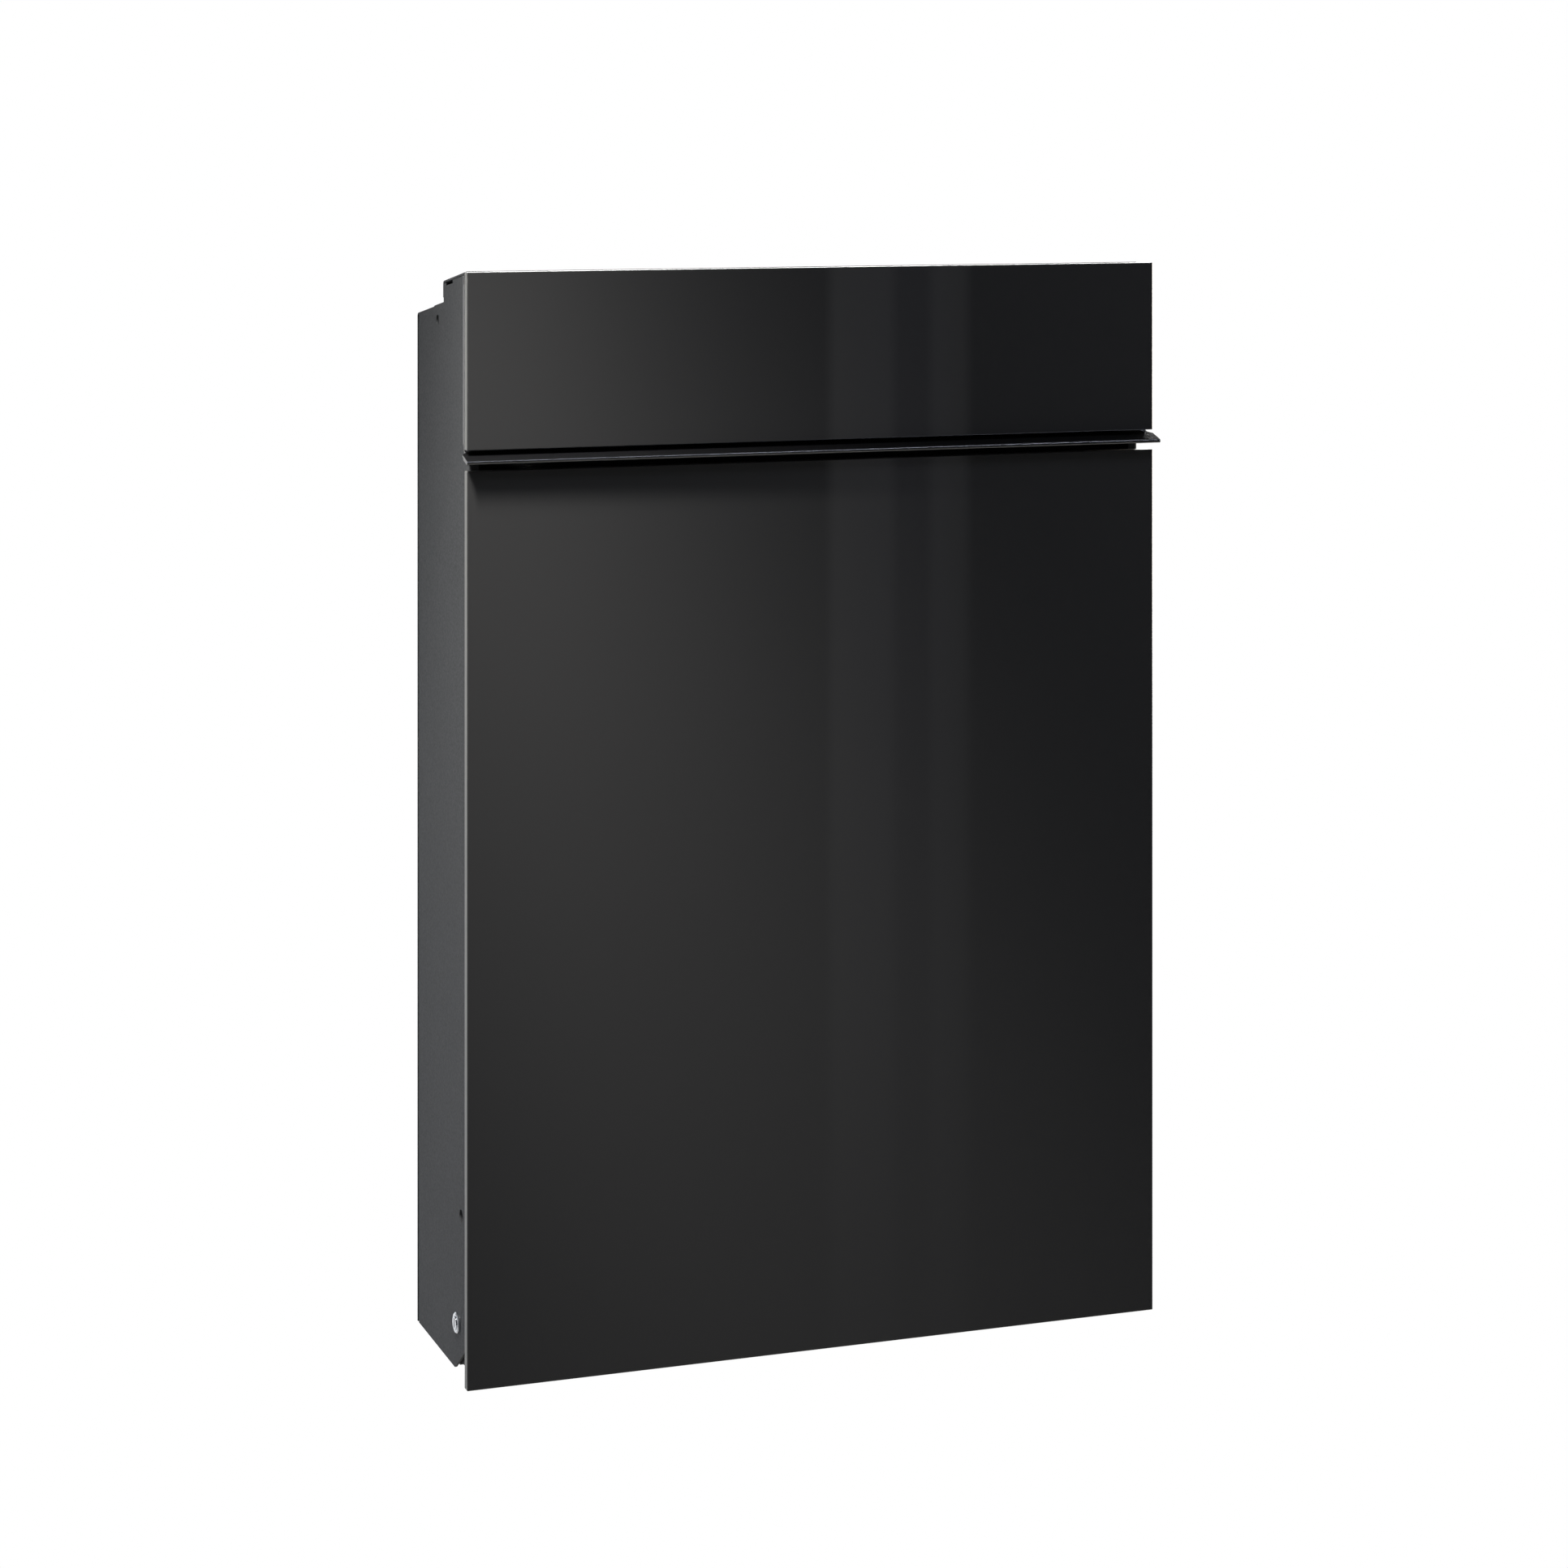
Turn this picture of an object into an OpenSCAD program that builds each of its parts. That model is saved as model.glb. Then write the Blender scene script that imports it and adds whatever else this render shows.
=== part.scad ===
/* [Glass front] */
// Width of both glass panes
glass_w = 360; // [345:1:375]
// Height of the upper pane, on the mail flap
upper_glass_h = 85; // [80:1:100]
// Height of the lower pane, on the door
lower_glass_h = 438.4; // [430:0.1:450]
// Gap between the panes, where the flap's lip comes out
pane_gap = 10; // [9.5:0.1:12]
// Thickness of the glass
glass_t = 5; // [4:0.5:6]
// Chamfer ground on the edges of the glass
glass_chamfer = 0.3; // [0.2:0.1:1]
// Bond tape behind the upper pane
upper_tape_t = 2.5; // [2:0.1:2.6]
// Bond tape behind the lower pane
lower_tape_t = 1.5; // [1:0.1:1.6]
// Width of the bond tapes
tape_w = 10; // [8:1:14]

/* [Housing] */
// Depth from the wall to the front of the glass
body_depth = 110; // [105:1:130]
// Inset of the side panels from the edges of the glass
side_inset = 3.3; // [3:0.1:4.5]
// Gap between the back of the glass and the housing's front edge
housing_gap = 5.9; // [5.8:0.1:6.4]
// Sheet of the side panels
side_t = 1.2; // [1:0.1:1.4]
// Sheet of the back, roof, cap, floor and sill
cover_t = 1; // [0.8:0.1:1.2]
// Inner radius of every bend
bend_r = 1; // [0.8:0.1:1.4]
// Width of the front flange of a side panel beside the slot
front_flange_w = 5.4; // [5:0.1:7]
// Width of the flanges that join the sheets inside
weld_flange_w = 12; // [10:1:16]

/* [Roof] */
// Fall of the roof towards the wall, in degrees
roof_slope = 8.2; // [6:0.1:10]
// Depth of the rain cap behind its ridge
cap_depth = 45.5; // [40:0.5:50]
// Height of the turned-down rear edge of the cap
cap_lip_h = 8; // [7:0.5:9]
// Height of the turned-down front edge of the cap
cap_front_h = 15; // [13:1:18]
// Step from the cap down to the side panels' rear edge
cap_step = 10.4; // [10:0.1:12]
// How far the roof sheet lies under the side panels' edge
roof_sink = 0.4; // [0.2:0.1:0.6]
// Depth of the rebate that takes the roof sheet
rebate_depth = 34; // [30:1:40]
// Distance of the vent slot behind the cap's ridge
vent_slot_back = 26.8; // [24:0.1:28]
// Length of the vent slot under the cap
vent_slot_l = 13.7; // [10:0.5:16]
// Height of the vent slot under the cap
vent_slot_h = 1.8; // [1.5:0.1:2.5]
// Radius of the vent hole high in each side
vent_hole_r = 2.65; // [2:0.05:3]
// Distance of the vent hole from the rebate, forward and down
vent_hole_in = 6.7; // [6:0.1:9]
// Shank radius of the rivets that hold the cap
cap_rivet_r = 1.6; // [1.5:0.1:2]

/* [Mail flap] */
// Sheet of the flap
flap_t = 1; // [0.9:0.1:1.1]
// Reach of the lip in front of the glass
lip_reach = 7; // [6:0.5:9]
// Slope of the lip, in degrees
lip_slope = 16; // [12:1:18]
// Thickness of the hemmed nose of the lip
lip_nose_t = 1.9; // [1.6:0.1:2]
// How far the lip stands out beyond each edge of the glass
lip_overhang = 1.55; // [1:0.05:2]
// Radius of the hinge rod
flap_rod_r = 1.25; // [1.2:0.05:1.3]
// Height of the hinge rod below the top of the glass
flap_axis_drop = 3.4; // [3.2:0.1:3.8]
// Width of each hinge lug on the cap
lug_w = 14; // [12:1:18]
// Distance of the outer hinge lugs from the edges of the glass
lug_inset = 30; // [25:1:40]

/* [Door] */
// Sheet of the door pan
pan_t = 1; // [0.8:0.1:1.2]
// Depth of the door pan behind the housing's front edge
pan_depth = 24.6; // [22:0.2:26]
// Gap between the door pan and the side panels
pan_gap = 1.2; // [1:0.1:1.5]
// Height of the pan's bottom edge above the bottom of the glass
pan_bottom = 1.5; // [1.2:0.1:2]
// How far the pan's top edge lies below the top of the lower pane
pan_top_drop = 8.4; // [8:0.2:12]
// Width of the turned-in edge on the lock side of the pan
pan_lip_w = 6; // [5:0.5:8]
// Height of the stop edges that the door closes against
stop_lip_h = 15; // [13:1:18]
// Distance of the hinge post from the door's hinge axis
post_offset = 11.5; // [10.5:0.5:14]
// Distance of the door's hinge axis from the side panel
door_axis_in = 4; // [3.9:0.1:4.4]
// Distance of the door's hinge axis behind the housing's front edge
door_axis_back = 5.6; // [5.2:0.1:6]
// Radius of the hinge pins
door_pin_r = 2; // [1.8:0.1:2]
// Distance of the hinge brackets' rear edges behind the door's hinge axis
bracket_back = 12; // [10:0.5:14]
// Height of the hinge brackets' legs below their ears
bracket_leg = 12; // [10:1:14]
// Radius of the hinge ears on the door
door_ear_r = 3.7; // [3.4:0.1:3.7]
// Thickness of the hinge ears
ear_t = 1.4; // [1.2:0.1:2]
// Height of the lower hinge above the bottom of the glass
lower_hinge_z = 20; // [18:1:30]
// Distance of the upper hinge below the top of the lower pane
upper_hinge_drop = 26; // [24:1:36]

/* [Lock] */
// Distance of the lock behind the front of the glass
lock_y = 29.9; // [29:0.1:30.4]
// Height of the lock above the bottom of the glass
lock_z = 23.4; // [22:0.2:26]
// Radius of the lock's rim
lock_rim_r = 5; // [4.8:0.1:5.4]
// Thickness of the rim outside the panel
lock_rim_t = 1.5; // [1:0.1:2]
// Radius of the lock's barrel
lock_barrel_r = 4.4; // [4.2:0.1:4.5]
// Length of the barrel behind the rim
lock_barrel_l = 12; // [11:0.5:14]
// Radius of the plug
lock_plug_r = 3.3; // [3:0.1:3.4]
// Width of the keyway
keyway_w = 1.3; // [1.1:0.1:1.5]
// Height of the keyway
keyway_h = 4.6; // [4:0.1:5]
// Reach of the cam from the plug's axis
cam_l = 14; // [13:0.5:15]
// Width of the cam
cam_w = 8; // [7:0.5:8]
// Distance of the access hole behind the front of the glass
access_y = 24; // [23:0.5:25]
// Height of the access hole above the bottom of the glass
access_z = 76.6; // [70:0.2:85]
// Radius of the access hole
access_r = 3.15; // [3:0.05:3.5]

/* [Finger notch] */
// Depth of the cut-off lower front corner
notch_depth = 25; // [20:1:25]
// Height of the cut-off lower front corner
notch_h = 18.6; // [16:0.2:22]
// Bevel at the upper end of the cut
notch_bevel = 5.5; // [4:0.5:7]

/* [Wall fixing] */
// Distance between the wall holes across
fixing_w = 280; // [240:5:300]
// Distance between the wall holes up the back
fixing_h = 400; // [340:5:400]
// Height of the middle of the wall holes above the bottom of the glass
fixing_z = 255; // [245:1:260]
// Radius of the wall holes
fixing_r = 4; // [3:0.5:5]
// Radius of the drain holes in the floor
drain_r = 3; // [2:0.5:4]

/* [Hidden] */
$fn = 48;

sheet_grey = "#4c4d50";
inner_grey = "#3c3d40";
glass_black = "#232526";
tape_grey = "#8b8d8f";
rubber_black = "#1c1c1d";
zinc = "#aeb6c0";
nickel = "#c3c6ca";
brass = "#a5834c";
nylon_white = "#d8d8d2";

// clearances
run_gap = 0.08;          // round running fit
fixed_gap = 0.02;        // round fixed fit
thrust_gap = 0.1;        // faces that slide on each other
free_gap = 0.4;          // pieces that pass each other
seat_gap = 0.2;          // sheets that lie side by side
cap_seam = 0.3;          // open seam between the cap and the side panels

// main places, from the middle of the lower pane's bottom front edge
total_h = lower_glass_h + pane_gap + upper_glass_h;
upper_z = lower_glass_h + pane_gap;
side_x = glass_w / 2 - side_inset;
side_in = side_x - side_t;
front_y = glass_t + housing_gap;
back_in_y = body_depth - cover_t;
bend_out = bend_r + cover_t;
bend_slack = 0.01;       // the round of a bend meets the flats at a slight angle

// roof
fall = tan(roof_slope);
cover_v = cover_t / cos(roof_slope);
ridge_y = front_y + bend_out;
cap_rear_y = ridge_y + cap_depth;
step_y = cap_rear_y - cover_t;
rebate_y = body_depth - rebate_depth;
function cap_z(y) = total_h - (y - ridge_y) * fall;
function under_cap(y) = cap_z(y) - cover_v - cap_seam;
function edge_z(y) = cap_z(y) - cap_step;
function roof_z(y) = edge_z(y) - roof_sink;
vent_slot_y = ridge_y + vent_slot_back;
lug_x = glass_w / 2 - lug_inset;
lug_xs = [-1, 0, 1] * lug_x;
rivet_xs = lug_xs;
rivet_z = cap_z(cap_rear_y) - cap_lip_h + 2.8;
rivet_head = 0.9;

// slot
sill_z = lower_glass_h - pan_top_drop + pan_gap;
sill_top = lower_glass_h - 1.4;
guard_reach = 22;
guard_rise = 27;
guard_hem = [4, 5];
guard_foot = 1;
pan_back_y = front_y + pan_depth;
stop_y = pan_back_y + 0.9;
flange_x = side_x - front_flange_w;
flange_top = total_h - bend_out - free_gap;
slot_x = flange_x - free_gap;

// flap
flap_y = glass_t + upper_tape_t;
lug_r = (housing_gap - free_gap) / 2;
flap_axis_y = front_y - lug_r;
flap_axis_z = total_h - flap_axis_drop;
flap_eye_r = flap_rod_r + fixed_gap + flap_t;
flap_x = glass_w / 2 - 0.6;
flap_hem = 2.5;
lip_x = glass_w / 2 + lip_overhang;
lip_corner_z = upper_z - 0.8;
lip_clip_y = 3.2;
lug_side_gap = 1;
rod_x = slot_x - 0.5;
hem_l = 4 * lip_nose_t;
return_bottom = lip_corner_z + 3;
return_top = total_h - bend_out - thrust_gap;

// door
pan_y = glass_t + lower_tape_t;
pan_x = side_in - pan_gap;
pan_top = lower_glass_h - pan_top_drop;
door_x = side_in - door_axis_in;
door_y = front_y + door_axis_back;
post_x = door_x - post_offset;
upper_hinge_z = lower_glass_h - upper_hinge_drop;
washer_t = 0.8;
ear_neck = door_ear_r - 1.3;      // clears the side panel's edge when the door is wide open
bumper_inset = 4;
tape_inset = 4;
pan_bend = bend_r + pan_t;
post_lip = 8;
post_back_in = 2.6;
post_foot_gap = 1.5;
post_end_gap = 6;
pin_foot = 1;
pin_shank = pin_foot + 2 * ear_t + washer_t + 2 * thrust_gap;
pin_head_r = door_pin_r + 1.4;

// lock
cam_t = 1.5;
cam_x = -side_x + lock_barrel_l + seat_gap;
nut_t = 2.2;
nut_r = 6.4;
lock_cut = 16;
tail_w = 4.2;
plug_proud = 0.4;
keyway_l = 7;
wafer_t = 0.6;
cam_screw_r = 1.25;
cam_screw_head = [3.2, 1.6];      // radius and height
keeper_t = 1.2;
keeper_x = cam_x + cam_t + 3;
keeper_z = lock_z + lock_cut / 2;
keeper_top = access_z + 10;
keeper_foot = 16;
keeper_screw_r = 2;
keeper_head_r = 4;
keeper_head_t = 0.7;
keeper_socket_r = 1.5;
keeper_nut_size = [3.9, 2.2];     // radius and height

// Puts a piece drawn from the lower pane's bottom front edge into the part's frame
module placed() translate([0, -body_depth, -fixing_z]) children();

// Extrudes a section drawn in depth and height along the width, about the middle
module along_x(w) rotate([90, 0, 90]) linear_extrude(w, center = true) children();

// Same, from one place across to another
module from_x(a, b) translate([(a + b) / 2, 0, 0]) along_x(b - a) children();

// Rectangle with its corners cut off
module cut_corners(size, c)
    polygon([
        [c, 0], [size.x - c, 0], [size.x, c], [size.x, size.y - c],
        [size.x - c, size.y], [c, size.y], [0, size.y - c], [0, c]
    ]);

// Draws a piece and its mirror image across the middle
module both_sides() {
    children();
    mirror([1, 0, 0]) children();
}

// Direction to the left of the way from one point to the next
function left_of(p, q) = [p.y - q.y, q.x - p.x] / norm(q - p);
function before(path, i) = let (k = max(i, 1)) left_of(path[k - 1], path[k]);
function after(path, i) = let (k = min(i, len(path) - 2)) left_of(path[k], path[k + 1]);

// Where the corner of a path comes when all its legs move to the left by d
function corner(path, i, d) =
    path[i] + d * (before(path, i) + after(path, i)) / (1 + before(path, i) * after(path, i));

// Outline of one side of a folded sheet, its inside corners cut across from leg to leg
function side_points(path, d, r) = [
    for (i = [0 : len(path) - 1])
        let (a = before(path, i), b = after(path, i), at = corner(path, i, d))
            each cross(a, b) * (d > 0 ? 1 : -1) > 0
                ? let (reach = r * abs(cross(a, b)) / (1 + a * b))
                    [at - reach * [a.y, -a.x], at + reach * [b.y, -b.x]]
                : [at]
];

// What comes off at a bend, inside and outside, to make it round
module bend_cut(path, i, t, r) {
    a = before(path, i);
    b = after(path, i);
    to_left = cross(a, b) > 0;
    centre = corner(path, i, to_left ? r + t : -r);
    beyond = (to_left ? -1.5 : 1.5) * (r + t);
    translate(centre) circle(r + bend_slack);
    difference() {
        polygon([
            centre, centre + beyond * a,
            centre + corner(path, i, beyond) - path[i], centre + beyond * b
        ]);
        translate(centre) circle(r + t + bend_slack);
    }
}

// Section of a folded sheet: the path is one face, and the sheet lies to its left.
// A hem is given by the points of its outline, in place of the sheet's last corner.
module folded(path, t, r = bend_r, hem = []) {
    inner = side_points(path, t, r);
    inner_end = len(inner) - (hem == [] ? 1 : 2);
    difference() {
        polygon(concat(
            side_points(path, 0, r), hem, [for (i = [inner_end : -1 : 0]) inner[i]]
        ));
        for (i = [1 : len(path) - 2]) bend_cut(path, i, t, r);
    }
}

// ---- housing ----

// Outline of a side panel in depth and height
module side_outline() {
    flange_back = front_y + bend_r + side_t;
    rear_y = back_in_y - bend_r - side_t;
    polygon([
        [front_y + notch_depth, 0],
        [rear_y, 0],
        [rear_y, roof_z(rear_y) - cover_v],
        [rebate_y, roof_z(rebate_y) - cover_v],
        [rebate_y, edge_z(rebate_y)],
        [step_y, edge_z(step_y)],
        [step_y, under_cap(step_y) - bend_r],
        [step_y - bend_r, under_cap(step_y - bend_r)],
        [flange_back, under_cap(flange_back)],
        [flange_back, sill_z + cover_t + seat_gap],
        [front_y, sill_z + cover_t + seat_gap],
        [front_y, notch_h],
        [front_y + notch_bevel, notch_h - notch_bevel],
    ]);
}

module side_sheet() {
    from_x(side_in, side_x) difference() {
        side_outline();
        // vent slot in the edge under the cap
        translate([vent_slot_y, cap_z(vent_slot_y) - cover_v - vent_slot_h])
            rotate(-roof_slope) square([vent_slot_l, vent_slot_h * 2]);
        translate([rebate_y, edge_z(rebate_y)] - [1, 1] * vent_hole_in) circle(vent_hole_r);
    }
    // front flange beside the mail slot
    translate([0, 0, sill_z + cover_t + seat_gap])
        linear_extrude(flange_top - sill_z - cover_t - seat_gap)
            folded([
                [flange_x, front_y],
                [side_x, front_y],
                [side_x, front_y + bend_r + side_t]
            ], side_t);
    // rear flange, welded to the back
    translate([0, 0, cover_t + seat_gap])
        linear_extrude(roof_z(body_depth) - weld_flange_w / 2)
            folded([
                [side_x, back_in_y - bend_r - side_t],
                [side_x, back_in_y],
                [side_x - weld_flange_w, back_in_y]
            ], side_t);
}

module side_panel_right() color(sheet_grey) placed() side_sheet();

module side_panel_left() color(sheet_grey) placed() difference() {
    mirror([1, 0, 0]) side_sheet();
    from_x(-side_x - 1, -side_in + 1) {
        translate([lock_y, lock_z]) circle(lock_barrel_r + seat_gap / 2);
        translate([access_y, access_z]) circle(access_r);
    }
}

// Back and roof, folded from one sheet, with an upstand under the rain cap
module back_panel() color(sheet_grey) placed() difference() {
    along_x(2 * side_x) folded([
        [body_depth, 0],
        [body_depth, roof_z(body_depth)],
        [step_y, roof_z(step_y)],
        [step_y, cap_z(step_y) - cover_v - bend_r - seat_gap]
    ], cover_t);
    // the roof narrows to fit between the side panels
    both_sides() translate([side_in - seat_gap + glass_w / 2, rebate_y / 2, total_h])
        cube([glass_w, rebate_y, total_h], center = true);
    // wall holes
    for (i = [-1, 1], k = [-1, 1])
        translate([i * fixing_w / 2, body_depth, fixing_z + k * fixing_h / 2])
            rotate([90, 0, 0])
                cylinder(r = fixing_r, h = 3 * cover_t, center = true);
    cap_rivet_holes();
}

module cap_rivet_holes()
    for (x = rivet_xs)
        translate([x, step_y, rivet_z]) rotate([90, 0, 0])
            cylinder(r = cap_rivet_r, h = 4 * cover_t, center = true);

// Folded rain cap: its ridge, sloping top and turned-down front and rear edges
module rain_cap() color(sheet_grey) placed() difference() {
    along_x(2 * side_x) folded([
        [cap_rear_y, cap_z(cap_rear_y) - cap_lip_h],
        [cap_rear_y, cap_z(cap_rear_y)],
        [front_y, cap_z(front_y)],
        [front_y, total_h - cap_front_h]
    ], cover_t);
    // the front edge ends beside the flanges of the side panels
    both_sides() translate([slot_x + glass_w / 2, 0, total_h])
        cube([glass_w, 2 * ridge_y, 2 * cap_front_h + 1], center = true);
    cap_rivet_holes();
}

// Pop rivets through the cap's rear edge and the roof's upstand
module cap_rivets() color(zinc) placed() {
    shank_r = cap_rivet_r - fixed_gap;
    head_r = cap_rivet_r + 1;
    blind_r = cap_rivet_r + 0.5;
    for (x = rivet_xs)
        translate([x, cap_rear_y, rivet_z]) rotate([90, 0, 0])
            rotate_extrude() polygon([
                [0, -rivet_head], [shank_r, -rivet_head * 0.8], [head_r, 0], [shank_r, 0],
                [shank_r, 2 * cover_t], [blind_r, 2 * cover_t],
                [blind_r, 2 * cover_t + rivet_head], [0, 2 * cover_t + rivet_head]
            ]);
}

// Floor of the box, with an upstand behind the door, side flanges and drain holes
module floor_panel() color(inner_grey) placed() difference() {
    flange_front = stop_y + bend_out + 1;
    flange_back = back_in_y - weld_flange_w;
    union() {
        along_x(2 * (side_in - bend_out)) folded([
            [stop_y, stop_lip_h], [stop_y, 0], [back_in_y, 0]
        ], cover_t);
        translate([0, flange_back, 0]) rotate([90, 0, 0])
            linear_extrude(flange_back - flange_front)
                folded([
                    [-side_in, weld_flange_w], [-side_in, 0],
                    [side_in, 0], [side_in, weld_flange_w]
                ], cover_t);
    }
    for (i = [-1, 0, 1])
        translate([i * lug_x * 0.7, (stop_y + back_in_y) / 2, 0])
            cylinder(r = drain_r, h = 4 * cover_t, center = true);
}

// Cross member under the mail slot: front upstand, ledge and door stop
module slot_sill() color(inner_grey) placed() difference() {
    along_x(2 * side_in) folded([
        [front_y, sill_top], [front_y, sill_z],
        [stop_y, sill_z], [stop_y, sill_z - stop_lip_h]
    ], cover_t);
    // the upstand ends beside the flanges of the side panels
    both_sides() translate([slot_x + glass_w / 2, 0, sill_top])
        cube([
            glass_w, 2 * (front_y + bend_out), 2 * (sill_top - sill_z - cover_t)
        ], center = true);
}

// Folded guard behind the slot that keeps hands out of the box
module mail_guard() color(inner_grey) placed() {
    guard_y = stop_y + cover_t;
    along_x(2 * (slot_x - bend_out)) folded([
        [guard_y + guard_reach - guard_hem.x, sill_z + guard_rise + guard_hem.y],
        [guard_y + guard_reach, sill_z + guard_rise],
        [guard_y, sill_z + 2 * guard_foot],
        [guard_y, sill_z - stop_lip_h + guard_foot]
    ], cover_t);
}

// Eyes on the cap's front edge that carry the flap's hinge rod
module flap_hinge_lugs() color(sheet_grey) placed() {
    bore = flap_rod_r + run_gap;
    for (x = lug_xs) translate([x, 0, 0])
        along_x(lug_w) difference() {
            union() {
                translate([flap_axis_y, flap_axis_z]) circle(lug_r);
                translate([front_y - lug_r + bore, total_h - cap_front_h])
                    square([lug_r - bore, cap_front_h - flap_axis_drop]);
            }
            translate([flap_axis_y, flap_axis_z]) circle(bore);
        }
}

// Round rubber stud with a bevelled end
module stud(r, h)
    rotate_extrude() polygon([[0, 0], [r, 0], [r, h * 0.7], [r - h * 0.3, h], [0, h]]);

// Rubber studs that the flap closes against
module flap_bumpers() color(rubber_black) placed()
    both_sides() translate([(flange_x + side_in) / 2, front_y, upper_z + 8])
        rotate([90, 0, 0]) stud(2, front_y - flap_y - flap_t - thrust_gap);

// Rubber studs that the door closes against, on the floor's upstand and the sill
module door_bumpers() color(rubber_black) placed()
    both_sides() for (z = [pan_bottom + bumper_inset, pan_top - bumper_inset])
        translate([lug_x, stop_y, z])
            rotate([90, 0, 0]) stud(bumper_inset, stop_y - pan_back_y - thrust_gap);

// ---- door hinges ----

// Angle on the right side panel with an ear round the door's axis
module hinge_bracket(z) {
    leg_y = door_y + bracket_back;
    translate([0, 0, z]) linear_extrude(ear_t) difference() {
        union() {
            translate([door_x, door_y]) circle(door_axis_in);
            translate([door_x, door_y - door_axis_in])
                square([door_axis_in, leg_y - door_y + door_axis_in]);
        }
        translate([door_x, door_y]) circle(door_pin_r + fixed_gap);
    }
    from_x(side_in - ear_t, side_in)
        translate([door_y + door_ear_r, z - bracket_leg])
            square([bracket_back - door_ear_r, bracket_leg + ear_t]);
}

module hinge_bracket_lower() color(zinc) placed() hinge_bracket(lower_hinge_z);
module hinge_bracket_upper() color(zinc) placed() hinge_bracket(upper_hinge_z);

// Headed pins, pressed into the brackets, that the door turns on
module door_hinge_pins() color(nickel) placed()
    for (z = [lower_hinge_z, upper_hinge_z])
        translate([door_x, door_y, z - pin_foot])
            rotate_extrude() polygon([
                [0, 0], [door_pin_r - 0.4, 0], [door_pin_r, 0.4],
                [door_pin_r, pin_shank], [pin_head_r, pin_shank],
                [pin_head_r, pin_shank + 1], [pin_head_r - 0.5, pin_shank + 1.5],
                [0, pin_shank + 1.5]
            ]);

// Nylon washers between the ears
module door_hinge_washers() color(nylon_white) placed()
    for (z = [lower_hinge_z, upper_hinge_z])
        translate([door_x, door_y, z + ear_t]) difference() {
            cylinder(r = door_ear_r, h = washer_t);
            translate([0, 0, -1]) cylinder(r = door_pin_r + run_gap, h = washer_t + 2);
        }

// ---- lock ----

// Places a shape drawn round the z axis on the lock's axis, z running into the box
module on_lock_axis(x) translate([x, lock_y, lock_z]) rotate([0, 90, 0]) children();

// Barrel with its rim outside the panel
module lock_body() color(nickel) placed() on_lock_axis(-side_x) difference() {
    rotate_extrude() polygon([
        [0, -lock_rim_t], [lock_rim_r - 0.5, -lock_rim_t],
        [lock_rim_r, 0.5 - lock_rim_t], [lock_rim_r, 0],
        [lock_barrel_r, 0], [lock_barrel_r, lock_barrel_l], [0, lock_barrel_l]
    ]);
    translate([0, 0, -lock_rim_t - 1])
        cylinder(r = lock_plug_r + run_gap, h = lock_rim_t + lock_barrel_l + 2);
}

// Hexagon nut that clamps the barrel to the panel
module lock_nut() color(zinc) placed() on_lock_axis(-side_in) difference() {
    cylinder(r = nut_r, h = nut_t, $fn = 6);
    translate([0, 0, -1]) cylinder(r = lock_barrel_r + fixed_gap, h = nut_t + 2);
}

// Plug with its keyway, and the square tail that carries the cam
module lock_plug() color(nickel) placed() on_lock_axis(-side_x) {
    face = -lock_rim_t - plug_proud;
    difference() {
        union() {
            translate([0, 0, face]) cylinder(r = lock_plug_r, h = lock_barrel_l - face);
            translate([-tail_w / 2, -tail_w / 2, lock_barrel_l - 1])
                cube([tail_w, tail_w, 1 + seat_gap + cam_t]);
        }
        translate([-keyway_h / 2, -keyway_w / 2, face - 1])
            cube([keyway_h, keyway_w, 1 + keyway_l]);
        translate([0, 0, lock_barrel_l - 4]) cylinder(r = cam_screw_r, h = 10);
    }
}

// Brass wafers that show in the keyway
module lock_wafers() color(brass) placed() on_lock_axis(-side_x)
    for (i = [0 : 2])
        translate([
            (i % 2 - 0.5) * wafer_t - keyway_h * 0.4, fixed_gap - keyway_w / 2,
            2 * wafer_t * (i + 1) - lock_rim_t - plug_proud
        ])
            cube([keyway_h * 0.8, keyway_w - 2 * fixed_gap, wafer_t]);

// Flat cam on the plug's tail; at rest it points at the glass and the door is free
module lock_cam() color(zinc) placed()
    translate([cam_x, lock_y, lock_z]) rotate([90, 0, 90])
        linear_extrude(cam_t) difference() {
            union() {
                circle(cam_w / 2 + 0.4);
                translate([cam_w / 2 - cam_l, -cam_w / 2])
                    square([cam_l - cam_w / 2, cam_w]);
                translate([cam_w / 2 - cam_l, 0]) circle(cam_w / 2);
            }
            square(tail_w + 2 * fixed_gap, center = true);
        }

// Screw that holds the cam on the tail
module cam_screw() color(zinc) placed() on_lock_axis(cam_x + cam_t) {
    cylinder(r = cam_screw_head[0], h = cam_screw_head[1], $fn = 6);
    translate([0, 0, -4]) cylinder(r = cam_screw_r - fixed_gap, h = 4.5);
}

// Angle inside the door pan that the cam turns in front of
module lock_keeper() color(zinc) placed() difference() {
    translate([0, 0, keeper_z]) linear_extrude(keeper_top - keeper_z)
        folded([
            [keeper_x, pan_back_y],
            [pan_t - pan_x, pan_back_y],
            [pan_t - pan_x, access_y - keeper_foot / 2]
        ], keeper_t);
    on_access_axis(-pan_x) cylinder(r = keeper_screw_r + fixed_gap, h = 3 * keeper_t);
}

module on_access_axis(x) translate([x, access_y, access_z]) rotate([0, 90, 0]) children();

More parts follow.
